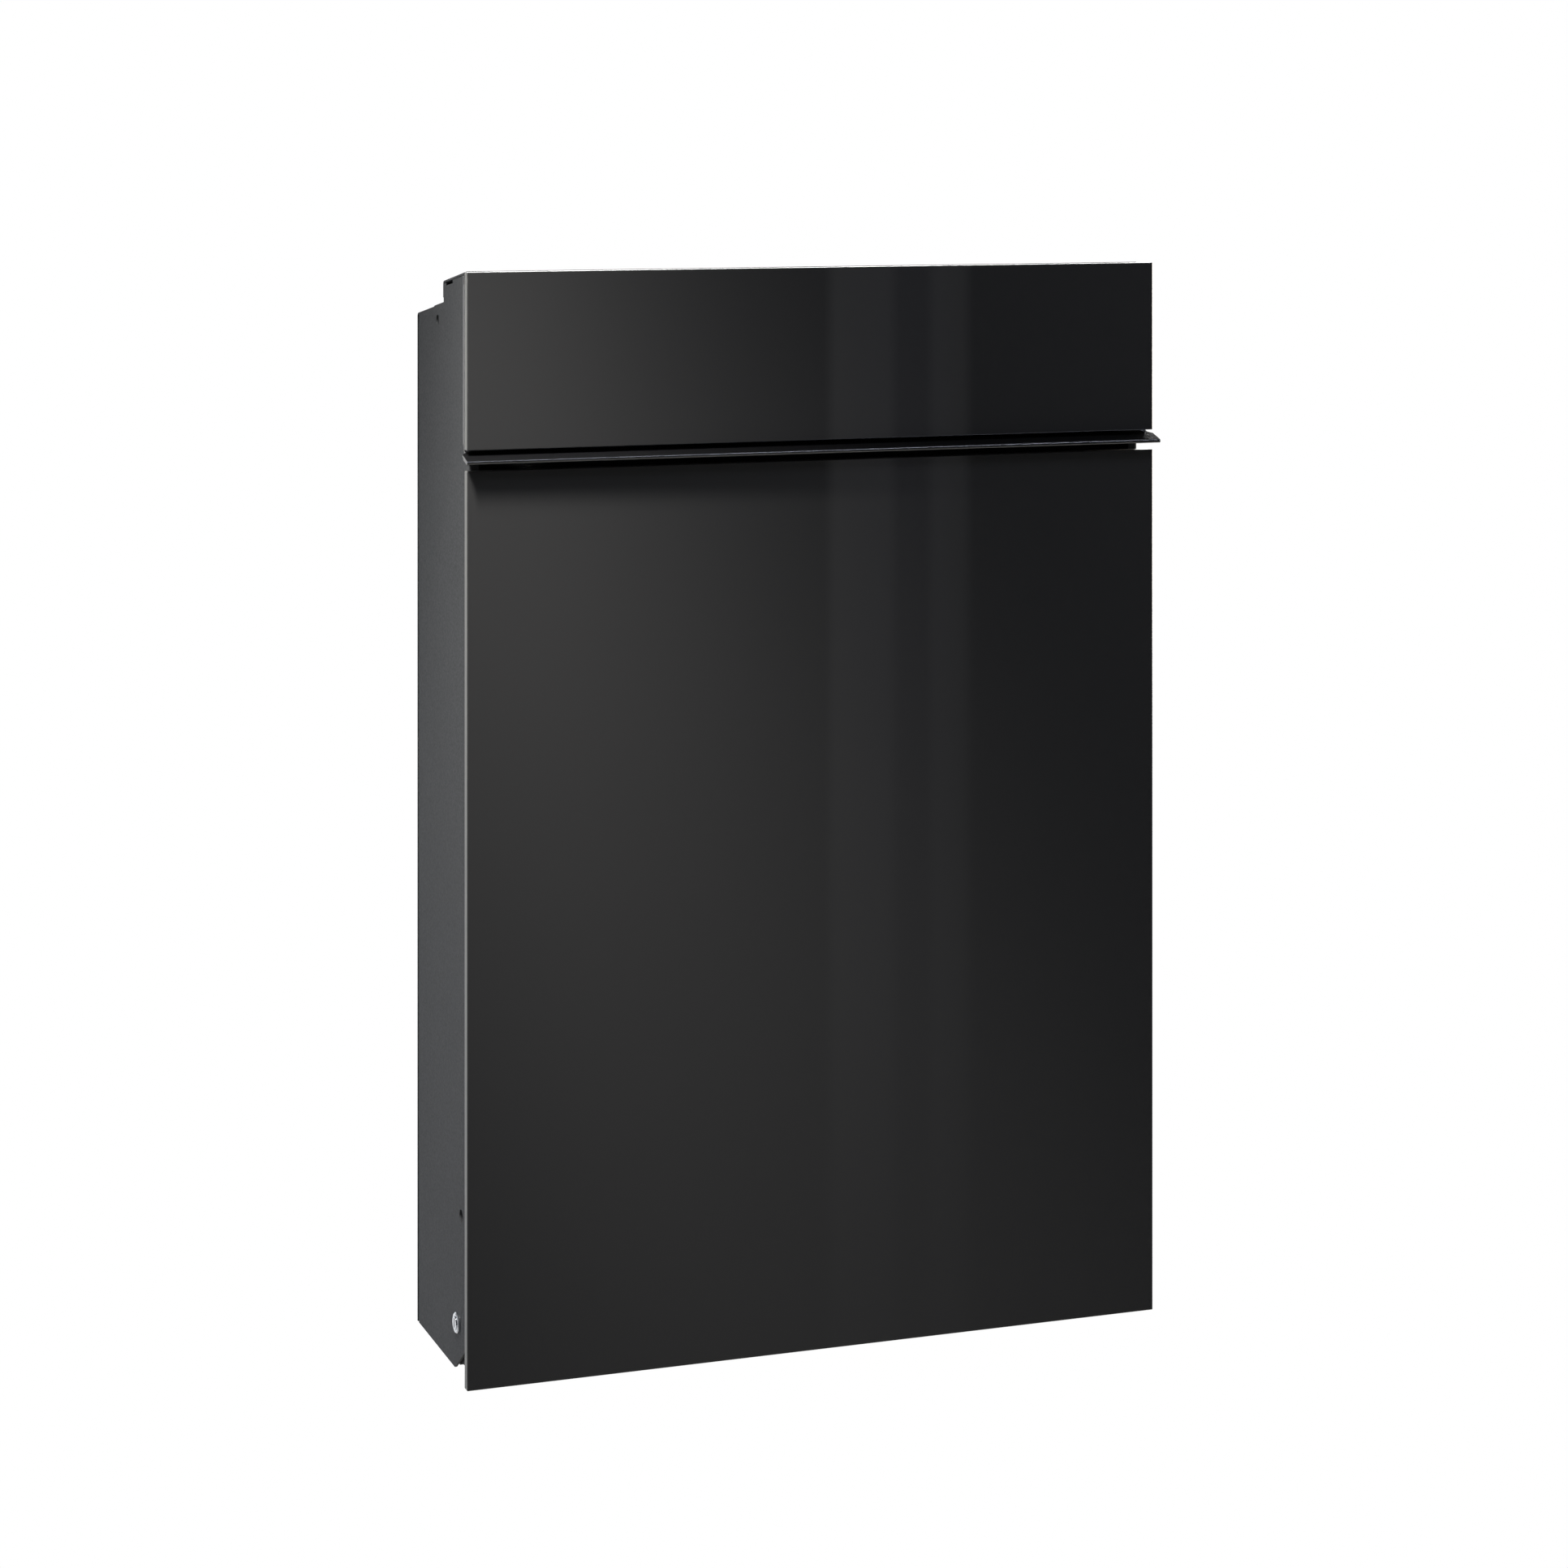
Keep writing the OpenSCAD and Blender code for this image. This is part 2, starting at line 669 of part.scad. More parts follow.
// Low-headed socket screw of the keeper, reached through the hole in the side panel
module keeper_screw() color(zinc) placed() on_access_axis(-pan_x) difference() {
    rotate_extrude() polygon([
        [0, -keeper_head_t], [keeper_head_r - 0.4, -keeper_head_t],
        [keeper_head_r, 0.4 - keeper_head_t], [keeper_head_r, 0],
        [keeper_screw_r, 0], [keeper_screw_r, 6], [0, 6]
    ]);
    cylinder(r = keeper_socket_r, h = 4, center = true, $fn = 6);
}

// Nut of the keeper's screw
module keeper_nut() color(zinc) placed()
    on_access_axis(pan_t + keeper_t - pan_x) difference() {
        cylinder(r = keeper_nut_size[0], h = keeper_nut_size[1], $fn = 6);
        translate([0, 0, -1]) cylinder(r = keeper_screw_r + fixed_gap, h = 5);
    }

// ---- mail flap ----

// Flap sheet: hemmed lip, upright behind the glass, hinge eyes and side returns
module flap_plate() color(sheet_grey) placed() {
    nose_y = lip_nose_t / 2 - lip_reach;
    nose = [nose_y, lip_corner_z - (flap_y - nose_y) * tan(lip_slope)];
    back = [cos(lip_slope), sin(lip_slope)];
    down = [back.y, -back.x];
    difference() {
        along_x(2 * lip_x) difference() {
            union() {
                folded(
                    [[flap_y, flap_axis_z - flap_rod_r - flap_t / 2], [flap_y, lip_corner_z], nose],
                    flap_t,
                    hem = [
                        nose + lip_nose_t * down,
                        nose + lip_nose_t * down + hem_l * back,
                        nose + flap_t * down + hem_l * back
                    ]
                );
                // rolled eye
                translate([flap_axis_y, flap_axis_z]) circle(flap_eye_r);
            }
            translate([flap_axis_y, flap_axis_z]) circle(flap_rod_r + fixed_gap);
            // round nose
            translate(nose + lip_nose_t / 2 * (down + back)) difference() {
                rotate(lip_slope) translate([-lip_nose_t, -lip_nose_t])
                    square([lip_nose_t, 2 * lip_nose_t]);
                circle(lip_nose_t / 2 + bend_slack);
            }
        }
        // lip ends cut back at 45 degrees to the width of the upright
        both_sides() linear_extrude(2 * total_h) polygon([
            [lip_x + 1, lip_clip_y - 1],
            [flap_x, lip_clip_y + lip_x - flap_x],
            [flap_x, 2 * front_y], [lip_x + 9, 2 * front_y], [lip_x + 9, lip_clip_y - 1]
        ]);
        // the eye is cut away round the cap's lugs and at both ends
        for (x = lug_xs) translate([x, flap_axis_y, flap_axis_z])
            cube([lug_w + 2 * lug_side_gap, 4 * lug_r, 2 * (lug_r + free_gap)], center = true);
        both_sides() translate([slot_x + glass_w / 2, flap_axis_y, total_h])
            cube([glass_w, 4 * lug_r, 2 * (flap_axis_drop + lug_r)], center = true);
    }
    // side returns
    both_sides() translate([0, 0, return_bottom])
        linear_extrude(return_top - return_bottom)
            folded([
                [slot_x, flap_y],
                [flap_x, flap_y],
                [flap_x, flap_y + flap_hem]
            ], flap_t, flap_t / 2);
}

// Rod through the eyes of the flap and the cap
module flap_hinge_rod() color(nickel) placed()
    translate([0, flap_axis_y, flap_axis_z]) rotate([0, 90, 0])
        cylinder(r = flap_rod_r, h = 2 * rod_x, center = true);

// Pane standing on its bottom edge, its edges ground with a small chamfer
module pane(h) intersection() {
    translate([-glass_w / 2, 0, 0])
        linear_extrude(h) cut_corners([glass_w, glass_t], glass_chamfer);
    along_x(glass_w) cut_corners([glass_t, h], glass_chamfer);
    translate([-glass_w / 2, glass_t, 0]) rotate([90, 0, 0])
        linear_extrude(glass_t) cut_corners([glass_w, h], glass_chamfer);
}

module upper_glass() color(glass_black) placed()
    translate([0, 0, upper_z]) pane(upper_glass_h);
module lower_glass() color(glass_black) placed() pane(lower_glass_h);

// Foam tapes that bond a pane: two along it, and two up its ends where it is tall
module bond_tapes(low, high, half_l, t) {
    for (z = [low, high - tape_w])
        translate([-half_l, glass_t, z]) cube([2 * half_l, t, tape_w]);
    if (high - low > half_l)
        for (x = [-half_l, half_l - tape_w])
            translate([x, glass_t, low + tape_w + 2])
                cube([tape_w, t, high - low - 2 * tape_w - 4]);
}

module upper_bond_tapes() color(tape_grey) placed()
    bond_tapes(
        upper_z + tape_inset, flap_axis_z - lug_r - tape_inset, slot_x - tape_inset,
        upper_tape_t
    );
module lower_bond_tapes() color(tape_grey) placed()
    bond_tapes(
        pan_bottom + tape_inset, pan_top - tape_inset, pan_x - tape_inset, lower_tape_t
    );

// ---- door ----

// Front sheet of the door's pan, as far as its bends
module door_pan() color(sheet_grey) placed()
    translate([pan_bend - pan_x, pan_y, pan_bottom + pan_bend])
        cube([2 * pan_x - pan_bend, pan_t, pan_top - pan_bottom - 2 * pan_bend]);

// Plan section of the pan's bent edge on the lock side
module lock_side_section(ends_in) folded(
    concat(ends_in, [[-pan_x, pan_y], [pan_bend - pan_x, pan_y]]), pan_t
);

// Edges of the pan, bent back at the top, the bottom and the lock side
module door_returns() color(sheet_grey) placed() {
    low = pan_bottom + pan_bend;
    high = pan_top - pan_bend;
    turned_in_low = keeper_top + pan_lip_w;
    turned_in_high = high - pan_lip_w;
    from_x(pan_bend - pan_x, post_x) {
        folded([[pan_back_y, pan_top], [pan_y, pan_top], [pan_y, high]], pan_t);
        folded([[pan_y, low], [pan_y, pan_bottom], [pan_back_y, pan_bottom]], pan_t);
    }
    // the lock side is cut away round the lock, and turned in above the keeper
    difference() {
        union() {
            translate([0, 0, low]) linear_extrude(high - low)
                lock_side_section([[-pan_x, pan_back_y - pan_bend]]);
            for (z = [[low, turned_in_low], [turned_in_high, high]])
                translate([-pan_x, pan_back_y - pan_bend - pan_t, z[0]])
                    cube([pan_t, pan_bend + pan_t, z[1] - z[0]]);
            translate([0, 0, turned_in_low]) linear_extrude(turned_in_high - turned_in_low)
                folded([
                    [pan_lip_w - pan_x, pan_back_y],
                    [-pan_x, pan_back_y],
                    [-pan_x, pan_back_y - pan_bend - pan_t]
                ], pan_t);
        }
        translate([-pan_x, pan_back_y, lock_z])
            cube([4 * pan_bend, 4 * pan_depth, lock_cut], center = true);
        on_access_axis(-pan_x - 1) cylinder(r = keeper_screw_r + fixed_gap, h = pan_t + 2);
    }
}

// Channel up the hinge side of the pan, with the two ears that turn on the pins
module hinge_post() color(inner_grey) placed() {
    post_y = pan_y + pan_t;
    post_back = pan_back_y - post_back_in;
    translate([0, 0, pan_bottom + post_end_gap])
        linear_extrude(pan_top - pan_bottom - 2 * post_end_gap)
        folded([
            [post_x - post_lip, post_back], [post_x, post_back],
            [post_x, post_y], [door_x - post_foot_gap, post_y]
        ], pan_t);
    for (z = [lower_hinge_z, upper_hinge_z])
        translate([0, 0, z + ear_t + washer_t + thrust_gap])
            linear_extrude(ear_t) difference() {
                union() {
                    translate([door_x, door_y]) circle(door_ear_r);
                    translate([post_x + pan_t / 2, door_y - ear_neck])
                        square([post_offset - pan_t / 2, ear_neck + door_ear_r]);
                }
                translate([door_x, door_y]) circle(door_pin_r + run_gap);
            }
}

side_panel_left();
side_panel_right();
back_panel();
floor_panel();
rain_cap();
cap_rivets();
slot_sill();
mail_guard();
flap_hinge_lugs();
flap_bumpers();
door_bumpers();
hinge_bracket_lower();
hinge_bracket_upper();
door_hinge_pins();
door_hinge_washers();
lock_body();
lock_nut();
lock_plug();
lock_wafers();
lock_cam();
cam_screw();
flap_plate();
flap_hinge_rod();
upper_glass();
upper_bond_tapes();
door_pan();
door_returns();
hinge_post();
lower_glass();
lower_bond_tapes();
lock_keeper();
keeper_screw();
keeper_nut();
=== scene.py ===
import math

import bmesh
import bpy
import mathutils
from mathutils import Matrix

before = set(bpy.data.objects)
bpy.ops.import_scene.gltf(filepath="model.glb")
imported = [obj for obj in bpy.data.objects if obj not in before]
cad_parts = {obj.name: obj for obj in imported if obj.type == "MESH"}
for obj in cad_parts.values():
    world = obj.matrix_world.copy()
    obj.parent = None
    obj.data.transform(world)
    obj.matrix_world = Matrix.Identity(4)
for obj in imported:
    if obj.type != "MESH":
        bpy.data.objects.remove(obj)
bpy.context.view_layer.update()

# ---- camera ----
# A long lens, held level to the left of the letterbox and a little above its top.
# It looks straight ahead, and its frame is shifted down onto the letterbox.
camera_data = bpy.data.cameras.new("camera")
camera_data.sensor_width = 36
camera_data.lens = 85.06
camera_data.shift_y = -0.4239
camera_data.clip_start = 0.01
camera = bpy.data.objects.new("camera", camera_data)
camera.location = (-0.6344, -1.823, 0.3514)
camera.rotation_euler = (math.radians(90), 0, math.radians(-19.744))
bpy.context.scene.collection.objects.link(camera)
bpy.context.scene.camera = camera
bpy.context.scene.view_settings.view_transform = "Standard"


# ---- studio surroundings ----
# White backdrops outside the view, and a dim room in front of the glass, with two pale
# upright panels in it and a dimmer strip between them. The black glass mirrors the room.
def linear(colour):
    """An sRGB hex colour as the linear colour that a shader takes."""
    parts = [int(colour[i : i + 2], 16) / 255 for i in (1, 3, 5)]
    parts = [c / 12.92 if c < 0.04045 else ((c + 0.055) / 1.055) ** 2.4 for c in parts]
    return (*parts, 1)


def add(tree, kind, inputs=(), **settings):
    """Adds a node to a shader with its settings, and its inputs' values and links by name."""
    node = tree.nodes.new(kind)
    for name, value in settings.items():
        setattr(node, name, value)
    for name, value in dict(inputs).items():
        if isinstance(value, bpy.types.NodeSocket):
            tree.links.new(value, node.inputs[name])
        else:
            node.inputs[name].default_value = value
    return node


def colour_steps(ramp, steps):
    """Sets a colour ramp's places and their linear colours."""
    while len(ramp.elements) < len(steps):
        ramp.elements.new(1)
    for element, (place, colour) in zip(ramp.elements, steps):
        element.position = place
        element.color = colour


world = bpy.data.worlds.new("studio")
bpy.context.scene.world = world
world.use_nodes = True
tree = world.node_tree
tree.nodes.clear()
way = add(tree, "ShaderNodeTexCoord").outputs["Generated"]
way = add(tree, "ShaderNodeSeparateXYZ", {"Vector": way}).outputs
# how far to the right a line runs for each metre that it runs forward from the glass
ahead = add(tree, "ShaderNodeMath", {0: way["Y"], 1: -1.0}, operation="MULTIPLY").outputs[0]
ahead = add(tree, "ShaderNodeMath", {0: ahead, 1: 0.02}, operation="MAXIMUM").outputs[0]
aside = add(tree, "ShaderNodeMath", {0: way["X"], 1: ahead}, operation="DIVIDE").outputs[0]
# how far aside the edges of the panels lie, and the room's tone there
PANEL_EDGES = [
    (0.0, 0.030, 0.030, 0.032),
    (0.3715, 0.034, 0.034, 0.036),
    (0.3722, 0.215, 0.215, 0.222),
    (0.3935, 0.200, 0.200, 0.222),
    (0.3942, 0.085, 0.085, 0.104),
    (0.4028, 0.077, 0.077, 0.094),
    (0.4036, 0.190, 0.190, 0.212),
    (0.4100, 0.170, 0.170, 0.182),
    (0.4157, 0.140, 0.140, 0.145),
    (0.4166, 0.008, 0.008, 0.012),
    (1.0, 0.006, 0.006, 0.010),
]
panels = add(tree, "ShaderNodeValToRGB", {"Fac": aside})
colour_steps(panels.color_ramp, [(place, (*rgb, 1)) for place, *rgb in PANEL_EDGES])
# low down the panels stand in shade, and sink into the dim room
down = add(tree, "ShaderNodeMath", {0: way["Z"], 1: ahead}, operation="DIVIDE").outputs[0]
shade = add(
    tree,
    "ShaderNodeMapRange",
    {"Value": down, "From Min": -0.08, "From Max": -0.34, "To Min": 0.0, "To Max": 0.85},
).outputs[0]
DIM_ROOM = (0.03, 0.03, 0.032, 1)
panels = add(
    tree,
    "ShaderNodeMix",
    {0: shade, 6: panels.outputs["Color"], 7: DIM_ROOM},
    data_type="RGBA",
)
# towards the backdrops beside and behind the letterbox the room grows paler
paler = add(
    tree,
    "ShaderNodeMapRange",
    {"Value": way["Y"], "From Min": -0.75, "From Max": 0.1, "To Min": 0.0, "To Max": 1.0},
    interpolation_type="SMOOTHSTEP",
).outputs[0]
behind = add(
    tree,
    "ShaderNodeMapRange",
    {"Value": way["Y"], "From Min": 0.75, "From Max": 0.95, "To Min": 0.12, "To Max": 1.0},
).outputs[0]
beside = add(
    tree,
    "ShaderNodeMapRange",
    {"Value": way["X"], "From Min": -0.5, "From Max": -0.85, "To Min": 0.12, "To Max": 0.45},
).outputs[0]
backdrops = add(tree, "ShaderNodeMath", {0: behind, 1: beside}, operation="MAXIMUM").outputs[0]
room = add(
    tree,
    "ShaderNodeMix",
    {0: paler, 6: panels.outputs[2], 7: backdrops},
    data_type="RGBA",
)
mirrored = add(tree, "ShaderNodeBackground", {"Color": room.outputs[2], "Strength": 1.0})
soft_fill = add(tree, "ShaderNodeBackground", {"Color": linear("#f1f3f6"), "Strength": 0.20})
backdrop = add(tree, "ShaderNodeBackground", {"Color": (1, 1, 1, 1), "Strength": 1.0})
ray = add(tree, "ShaderNodeLightPath").outputs
seen = add(
    tree,
    "ShaderNodeMath",
    {0: ray["Is Camera Ray"], 1: ray["Is Transmission Ray"]},
    operation="MAXIMUM",
).outputs[0]
unseen = add(
    tree,
    "ShaderNodeMixShader",
    {0: ray["Is Glossy Ray"], 1: soft_fill.outputs[0], 2: mirrored.outputs[0]},
)
all_rays = add(
    tree, "ShaderNodeMixShader", {0: seen, 1: unseen.outputs[0], 2: backdrop.outputs[0]}
)
add(tree, "ShaderNodeOutputWorld", {"Surface": all_rays.outputs[0]})


# ---- lamps ----
# Soft boxes: one at the left, one behind, one at the right and one long one overhead, and
# a small box with a grid close to the top left corner, whose light rakes down the glass.
def soft_box(name, place, aim, size, watts, colour, spread=180):
    """A rectangular lamp at a place, turned to face a point."""
    data = bpy.data.lights.new(name, "AREA")
    data.shape = "RECTANGLE"
    data.size, data.size_y = size
    data.energy = watts
    data.color = linear(colour)[:3]
    data.spread = math.radians(spread)
    lamp = bpy.data.objects.new(name, data)
    lamp.location = place
    heading = (lamp.location.copy() - mathutils.Vector(aim)).to_track_quat("Z", "Y")
    lamp.rotation_euler = heading.to_euler()
    lamp.visible_camera = False
    bpy.context.scene.collection.objects.link(lamp)


soft_box("left_soft_box", (-0.9, 0.35, -0.35), (-0.18, -0.05, -0.1), (0.4, 0.7), 4.2, "#f3f6ff")
GRID_ANGLE = 28
soft_box(
    "raking_soft_box",
    (-0.431, -0.318, 0.809),
    (-0.1464, -0.11, 0.08),
    (0.05, 0.2),
    0.64,
    "#fffdfa",
    GRID_ANGLE,
)
soft_box("overhead_soft_box", (0.52, -1.0, 1.6), (0.05, -0.11, 0.19), (1.1, 0.06), 9.0, "#dbe1f4")
soft_box("right_soft_box", (2.4, 0.9, 0.5), (0.1, -0.05, 0.0), (1.4, 1.6), 60, "#fff6ea")
soft_box("rear_soft_box", (0.9, 2.6, 0.9), (0.0, 0.0, 0.0), (1.8, 1.2), 75, "#ffffff")

# ---- floor ----
# A round sheet of pale board, well below the letterbox, which hangs on a wall.
# Its rim glows white, so that it runs into the white backdrop without an edge.
FLOOR_Z = -1.38
FLOOR_RADIUS = 2.4
floor_mesh = bpy.data.meshes.new("floor")
disc = bmesh.new()
bmesh.ops.create_circle(disc, cap_ends=True, segments=96, radius=FLOOR_RADIUS)
disc.to_mesh(floor_mesh)
disc.free()
floor = bpy.data.objects.new("floor", floor_mesh)
floor.location.z = FLOOR_Z
bpy.context.scene.collection.objects.link(floor)
board = bpy.data.materials.new("pale_board")
board.use_nodes = True
tree = board.node_tree
tree.nodes.clear()
place = add(tree, "ShaderNodeTexCoord").outputs["Object"]
out_from_middle = add(
    tree, "ShaderNodeVectorMath", {0: place}, operation="LENGTH"
).outputs["Value"]
glow = add(
    tree,
    "ShaderNodeMapRange",
    {"Value": out_from_middle, "From Min": 0.9, "From Max": 2.2, "To Min": 0.35, "To Max": 1.0},
    interpolation_type="SMOOTHSTEP",
).outputs[0]
to_camera = add(tree, "ShaderNodeLightPath").outputs["Is Camera Ray"]
glow = add(tree, "ShaderNodeMath", {0: glow, 1: to_camera}, operation="MULTIPLY").outputs[0]
matte = add(tree, "ShaderNodeBsdfDiffuse", {"Color": linear("#e9e9e6"), "Roughness": 0.5})
lit = add(tree, "ShaderNodeEmission", {"Color": (1, 1, 1, 1), "Strength": glow})
both = add(tree, "ShaderNodeAddShader", {0: matte.outputs[0], 1: lit.outputs[0]})
add(tree, "ShaderNodeOutputMaterial", {"Surface": both.outputs[0]})
floor_mesh.materials.append(board)

# ---- housing sheets ----
# Zinc-coated steel sheet, cut, folded and spot-welded, then powder coated in dark grey.
# The fine-texture polyester coat is matt, with a grain of half a millimetre.
MM = 0.001


def start_material(name, colour, roughness, metallic=0.0):
    """A material with one Principled shader, and the piece's own coordinates in metres."""
    material = bpy.data.materials.new(name)
    material.use_nodes = True
    tree = material.node_tree
    tree.nodes.clear()
    place = add(tree, "ShaderNodeTexCoord")
    shader = add(
        tree,
        "ShaderNodeBsdfPrincipled",
        {"Base Color": linear(colour), "Roughness": roughness, "Metallic": metallic},
    )
    add(tree, "ShaderNodeOutputMaterial", {"Surface": shader.outputs[0]})
    return material, tree, place, shader


def finish_nodes(material, *names):
    """Gives CAD nodes their material."""
    for name in names:
        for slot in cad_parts[name].material_slots:
            slot.material = material


def powder_coat(name, dark, pale, grain, depth, roughness, shine):
    """Fine-texture powder coat: a grain in height, tone and gloss, and a slow drift of tone."""
    material, tree, place, shader = start_material(name, dark, roughness)
    grit = add(
        tree,
        "ShaderNodeTexNoise",
        {"Vector": place.outputs["Object"], "Scale": 1 / grain, "Detail": 2.0, "Roughness": 0.6},
    ).outputs[0]
    drift = add(
        tree,
        "ShaderNodeTexNoise",
        {"Vector": place.outputs["Object"], "Scale": 1 / (70 * MM), "Detail": 1.0},
    ).outputs[0]
    tone = add(
        tree, "ShaderNodeMath", {0: drift, 1: 0.35, 2: grit}, operation="MULTIPLY_ADD"
    ).outputs[0]
    tones = add(tree, "ShaderNodeValToRGB", {"Fac": tone})
    colour_steps(tones.color_ramp, [(0.35, linear(dark)), (1.0, linear(pale))])
    gloss = add(
        tree,
        "ShaderNodeMapRange",
        {
            "Value": grit,
            "From Min": 0.3,
            "From Max": 0.7,
            "To Min": roughness + 0.08,
            "To Max": roughness - 0.08,
        },
    ).outputs[0]
    bump = add(
        tree, "ShaderNodeBump", {"Height": grit, "Strength": 0.6, "Distance": depth}
    ).outputs[0]
    shader.inputs["Specular IOR Level"].default_value = shine
    tree.links.new(tones.outputs["Color"], shader.inputs["Base Color"])
    tree.links.new(gloss, shader.inputs["Roughness"])
    tree.links.new(bump, shader.inputs["Normal"])
    return material


# a grain of 0.5 mm is drawn at 1.1 mm, which is as fine as shows
grey_coat = powder_coat(
    "grey_fine_texture_coat",
    "#353637",
    "#3f4041",
    grain=1.1 * MM,
    depth=0.06 * MM,
    roughness=0.72,
    shine=0.11,
)
finish_nodes(
    grey_coat,
    "side_panel_left",
    "side_panel_right",
    "back_panel",
    "floor_panel",
    "rain_cap",
    "slot_sill",
    "mail_guard",
    "flap_hinge_lugs",
)

# ---- bumpers ----
# Turned EPDM rubber buttons that the flap and the door close against.
# Black and matt, with a grey bloom in patches.
rubber, tree, place, shader = start_material("moulded_epdm_rubber", "#1b1b1c", 0.72)
bloom = add(
    tree,
    "ShaderNodeTexNoise",
    {"Vector": place.outputs["Object"], "Scale": 1 / (1.5 * MM), "Detail": 4.0},
).outputs[0]
tones = add(tree, "ShaderNodeValToRGB", {"Fac": bloom})
colour_steps(tones.color_ramp, [(0.35, linear("#171718")), (0.8, linear("#2a2a2b"))])
skin = add(tree, "ShaderNodeBump", {"Height": bloom, "Strength": 0.3, "Distance": 0.1 * MM})
tree.links.new(tones.outputs["Color"], shader.inputs["Base Color"])
tree.links.new(skin.outputs[0], shader.inputs["Normal"])
finish_nodes(rubber, "flap_bumpers", "door_bumpers")

# ---- brackets, rivets, screws and nuts ----
# Pressed and cold-headed steel pieces with bright zinc plating: the hinge brackets, the
# keeper, the cam and all fasteners. Silvery, faintly blue and straw in patches.
zinc, tree, place, shader = start_material("bright_zinc_plated_steel", "#b4b9bf", 0.3, 1.0)
patches = add(
    tree,
    "ShaderNodeTexNoise",
    {"Vector": place.outputs["Object"], "Scale": 1 / (3 * MM), "Detail": 3.0},
).outputs[0]
tones = add(tree, "ShaderNodeValToRGB", {"Fac": patches})
colour_steps(
    tones.color_ramp,
    [(0.3, linear("#a3acb8")), (0.5, linear("#bdc3ca")), (0.75, linear("#c9c7bb"))],
)
gloss = add(
    tree,
    "ShaderNodeMapRange",
    {"Value": patches, "From Min": 0.3, "From Max": 0.7, "To Min": 0.38, "To Max": 0.22},
).outputs[0]
tree.links.new(tones.outputs["Color"], shader.inputs["Base Color"])
tree.links.new(gloss, shader.inputs["Roughness"])
finish_nodes(
    zinc,
    "cap_rivets",
    "hinge_bracket_lower",
    "hinge_bracket_upper",
    "lock_nut",
    "lock_cam",
    "cam_screw",
    "lock_keeper",
    "keeper_screw",
    "keeper_nut",
)

# ---- hinge washers ----
# Thrust washers stamped from natural nylon sheet: ivory, waxy, slightly see-through.
nylon, tree, place, shader = start_material("natural_nylon", "#dedbcf", 0.42)
shader.inputs["Subsurface Weight"].default_value = 0.15
shader.inputs["Subsurface Radius"].default_value = (1.2 * MM, 1.0 * MM, 0.7 * MM)
shader.inputs["Subsurface Scale"].default_value = 1.0
clouds = add(
    tree,
    "ShaderNodeTexNoise",
    {"Vector": place.outputs["Object"], "Scale": 1 / (2 * MM), "Detail": 2.0},
).outputs[0]
tones = add(tree, "ShaderNodeValToRGB", {"Fac": clouds})
colour_steps(tones.color_ramp, [(0.3, linear("#d3cfc1")), (0.7, linear("#e4e2d8"))])
tree.links.new(tones.outputs["Color"], shader.inputs["Base Color"])
finish_nodes(nylon, "door_hinge_washers")

# ---- lock and hinge shafts ----
# The lock's die-cast body and plug, and the turned pins and rod of the hinges, polished
# and nickel plated. The plating is bright and cool, hazy in patches from the metal below.
nickel, tree, place, shader = start_material("polished_nickel_plate", "#e2e6ec", 0.15, 1.0)
haze = add(
    tree,
    "ShaderNodeTexNoise",
    {"Vector": place.outputs["Object"], "Scale": 1 / (0.8 * MM), "Detail": 3.0},
).outputs[0]
tones = add(tree, "ShaderNodeValToRGB", {"Fac": haze})
colour_steps(tones.color_ramp, [(0.3, linear("#d6dae1")), (0.75, linear("#eaedf2"))])
gloss = add(
    tree,
    "ShaderNodeMapRange",
    {"Value": haze, "From Min": 0.3, "From Max": 0.7, "To Min": 0.08, "To Max": 0.22},
).outputs[0]
ripple = add(tree, "ShaderNodeBump", {"Height": haze, "Strength": 0.12, "Distance": 0.05 * MM})
tree.links.new(tones.outputs["Color"], shader.inputs["Base Color"])
tree.links.new(gloss, shader.inputs["Roughness"])
tree.links.new(ripple.outputs[0], shader.inputs["Normal"])
finish_nodes(nickel, "lock_body", "lock_plug", "door_hinge_pins", "flap_hinge_rod")

# ---- lock wafers ----
# Wafers stamped from half-hard brass sheet, brown where the key's grease has darkened them.
brass, tree, place, shader = start_material("stamped_brass", "#a98445", 0.34, 1.0)
stains = add(
    tree,
    "ShaderNodeTexNoise",
    {"Vector": place.outputs["Object"], "Scale": 1 / (0.7 * MM), "Detail": 3.0},
).outputs[0]
tones = add(tree, "ShaderNodeValToRGB", {"Fac": stains})
colour_steps(tones.color_ramp, [(0.35, linear("#7d5c2e")), (0.65, linear("#b48d4d"))])
tree.links.new(tones.outputs["Color"], shader.inputs["Base Color"])
finish_nodes(brass, "lock_wafers")

# ---- mail flap sheet ----
# One steel sheet with a hemmed lip, folded up behind the glass, powder coated in black.
# Its coat is glossier than the housing's, and gives a thin line of light along every bend.
# its grain of 0.5 mm is drawn at 0.8 mm
black_coat = powder_coat(
    "black_fine_texture_coat",
    "#0d0d0e",
    "#171718",
    grain=0.8 * MM,
    depth=0.012 * MM,
    roughness=0.12,
    shine=1.0,
)
finish_nodes(black_coat, "flap_plate")

# ---- glass panes ----
# Float glass, 5 mm thick, back-painted black, with its edges ground and seamed.
# The face is a sharp, deep black mirror. The ground edges are matt and grey-green.
glass, tree, place, shader = start_material("black_backed_float_glass", "#0b0b0b", 0.0)
shader.inputs["IOR"].default_value = 1.52
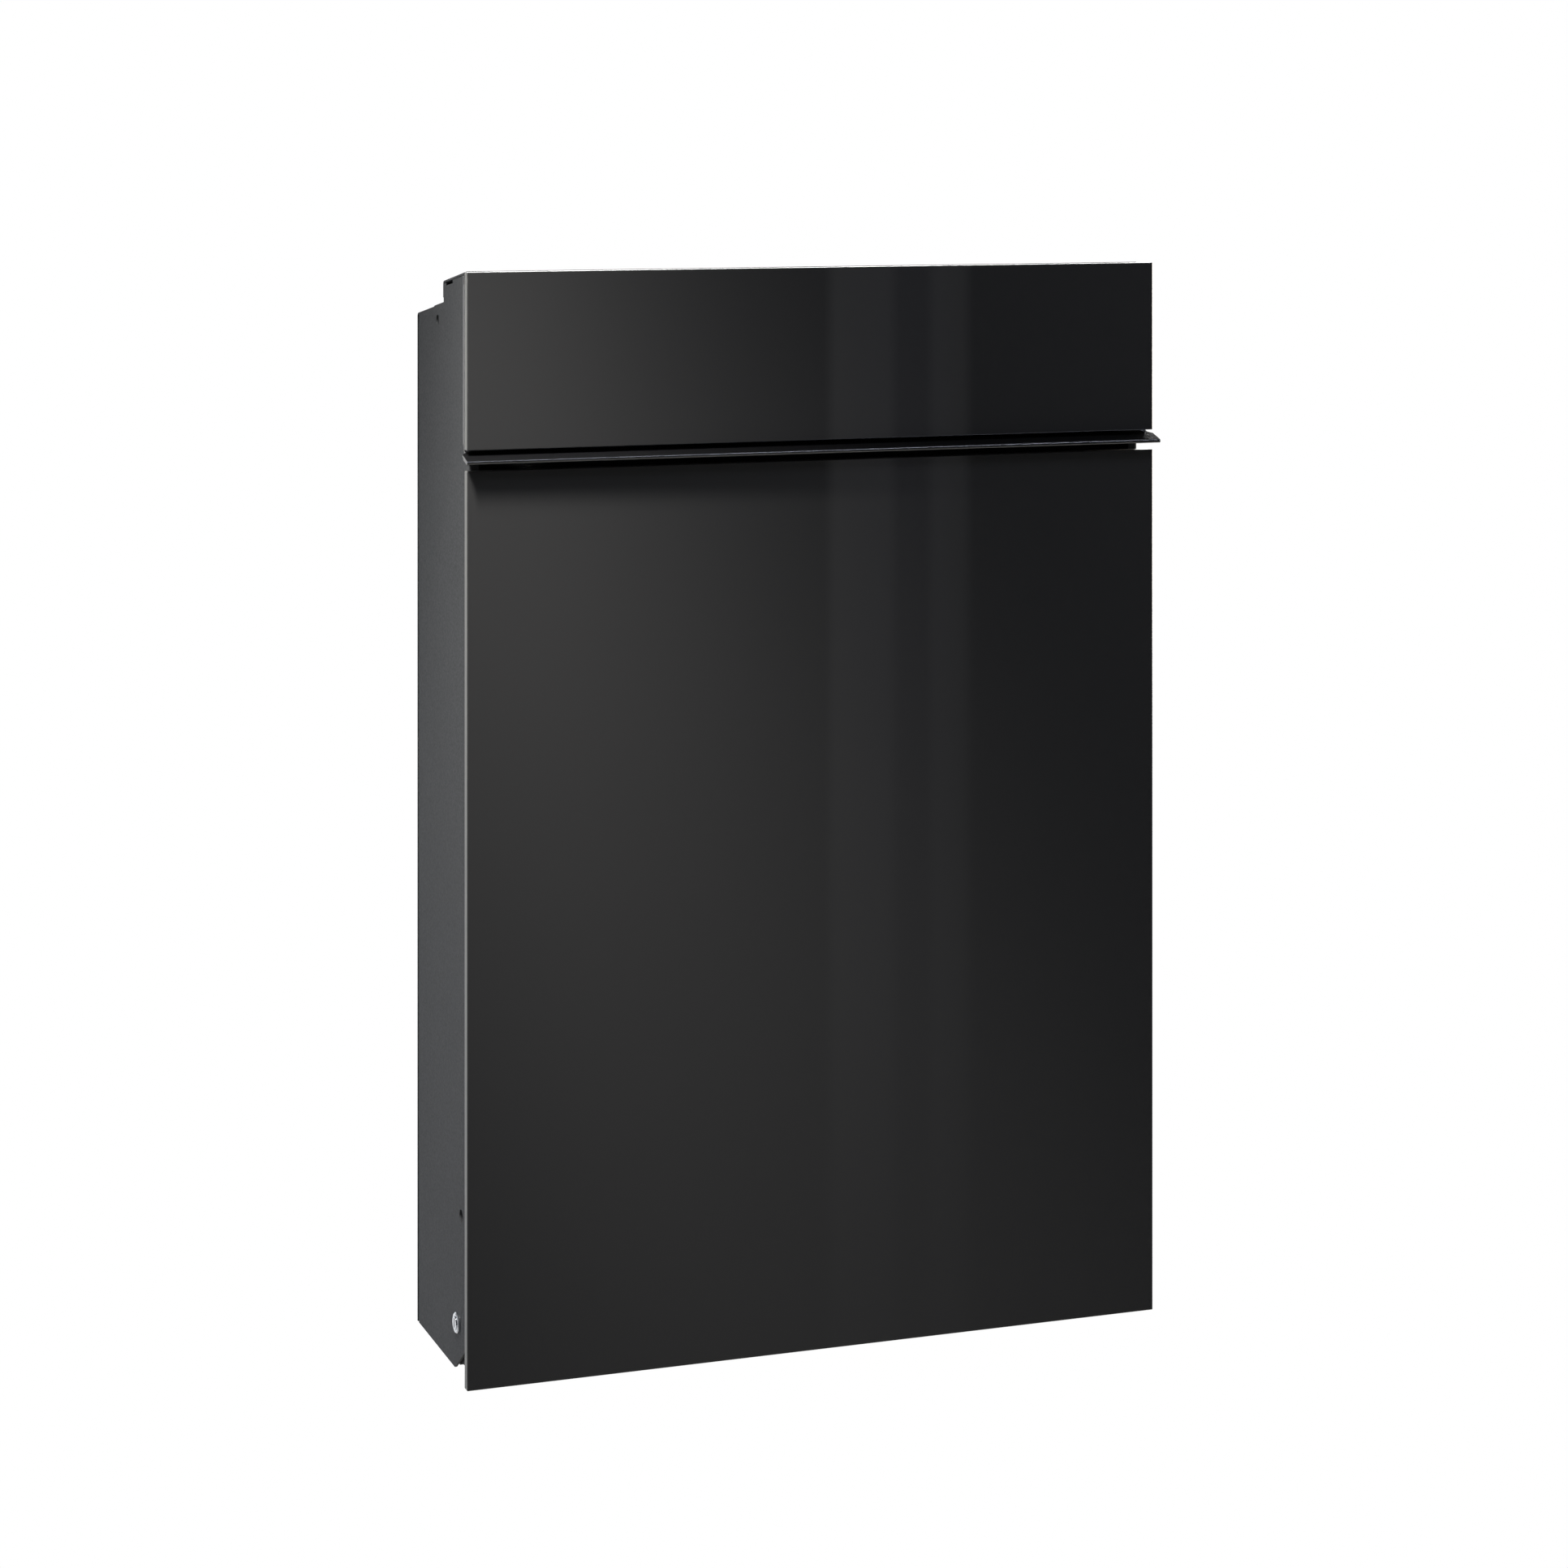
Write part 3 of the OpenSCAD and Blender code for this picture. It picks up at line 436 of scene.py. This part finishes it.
# a thin bloom of dust, which only raking light brings out
shader.inputs["Sheen Weight"].default_value = 0.07
shader.inputs["Sheen Roughness"].default_value = 1.0
facing = add(tree, "ShaderNodeSeparateXYZ", {"Vector": place.outputs["Normal"]}).outputs["Y"]
facing = add(tree, "ShaderNodeMath", {0: facing}, operation="ABSOLUTE").outputs[0]
ground = add(tree, "ShaderNodeMath", {0: facing, 1: 0.5}, operation="LESS_THAN").outputs[0]
# the wheel's marks run along the edge, and are drawn coarse, 0.4 mm apart across it
MARKS_ALONG = 60
MARKS_ACROSS = 2500
along = add(
    tree,
    "ShaderNodeMapping",
    {"Vector": place.outputs["Object"], "Scale": (MARKS_ALONG, MARKS_ACROSS, MARKS_ALONG)},
).outputs[0]
marks = add(tree, "ShaderNodeTexNoise", {"Vector": along, "Scale": 1.0, "Detail": 2.0}).outputs[0]
edge_tones = add(tree, "ShaderNodeValToRGB", {"Fac": marks})
colour_steps(edge_tones.color_ramp, [(0.3, linear("#363632")), (0.7, linear("#42423d"))])
mottle = add(
    tree,
    "ShaderNodeTexNoise",
    {"Vector": place.outputs["Object"], "Scale": 1 / (90 * MM), "Detail": 1.0},
).outputs[0]
paint_tones = add(tree, "ShaderNodeValToRGB", {"Fac": mottle})
colour_steps(paint_tones.color_ramp, [(0.2, linear("#0a0a0a")), (0.8, linear("#0c0c0c"))])
surface = add(
    tree,
    "ShaderNodeMix",
    {0: ground, 6: paint_tones.outputs["Color"], 7: edge_tones.outputs["Color"]},
    data_type="RGBA",
)
# the seamed corners between face and edge are half polished
gloss = add(
    tree,
    "ShaderNodeMapRange",
    {"Value": facing, "From Min": 0.5, "From Max": 0.98, "To Min": 0.42, "To Max": 0.0},
).outputs[0]
tree.links.new(surface.outputs[2], shader.inputs["Base Color"])
tree.links.new(gloss, shader.inputs["Roughness"])
finish_nodes(glass, "upper_glass", "lower_glass")

# ---- bond tapes ----
# Closed-cell acrylic foam tape, grey, which holds each pane to its sheet.
# Its cut edge shows fine open cells.
tape, tree, place, shader = start_material("acrylic_foam_tape", "#7f8183", 0.8)
cells = add(
    tree,
    "ShaderNodeTexVoronoi",
    {"Vector": place.outputs["Object"], "Scale": 1 / (0.5 * MM)},
).outputs["Distance"]
tones = add(tree, "ShaderNodeValToRGB", {"Fac": cells})
colour_steps(tones.color_ramp, [(0.05, linear("#5e6062")), (0.5, linear("#8b8d8f"))])
pits = add(tree, "ShaderNodeBump", {"Height": cells, "Strength": 0.5, "Distance": 0.15 * MM})
tree.links.new(tones.outputs["Color"], shader.inputs["Base Color"])
tree.links.new(pits.outputs[0], shader.inputs["Normal"])
finish_nodes(tape, "upper_bond_tapes", "lower_bond_tapes")

# ---- door ----
# The door's shallow pan, its folded edges and hinge post, in the same coated sheet as
# the housing.
finish_nodes(grey_coat, "door_pan", "door_returns", "hinge_post")
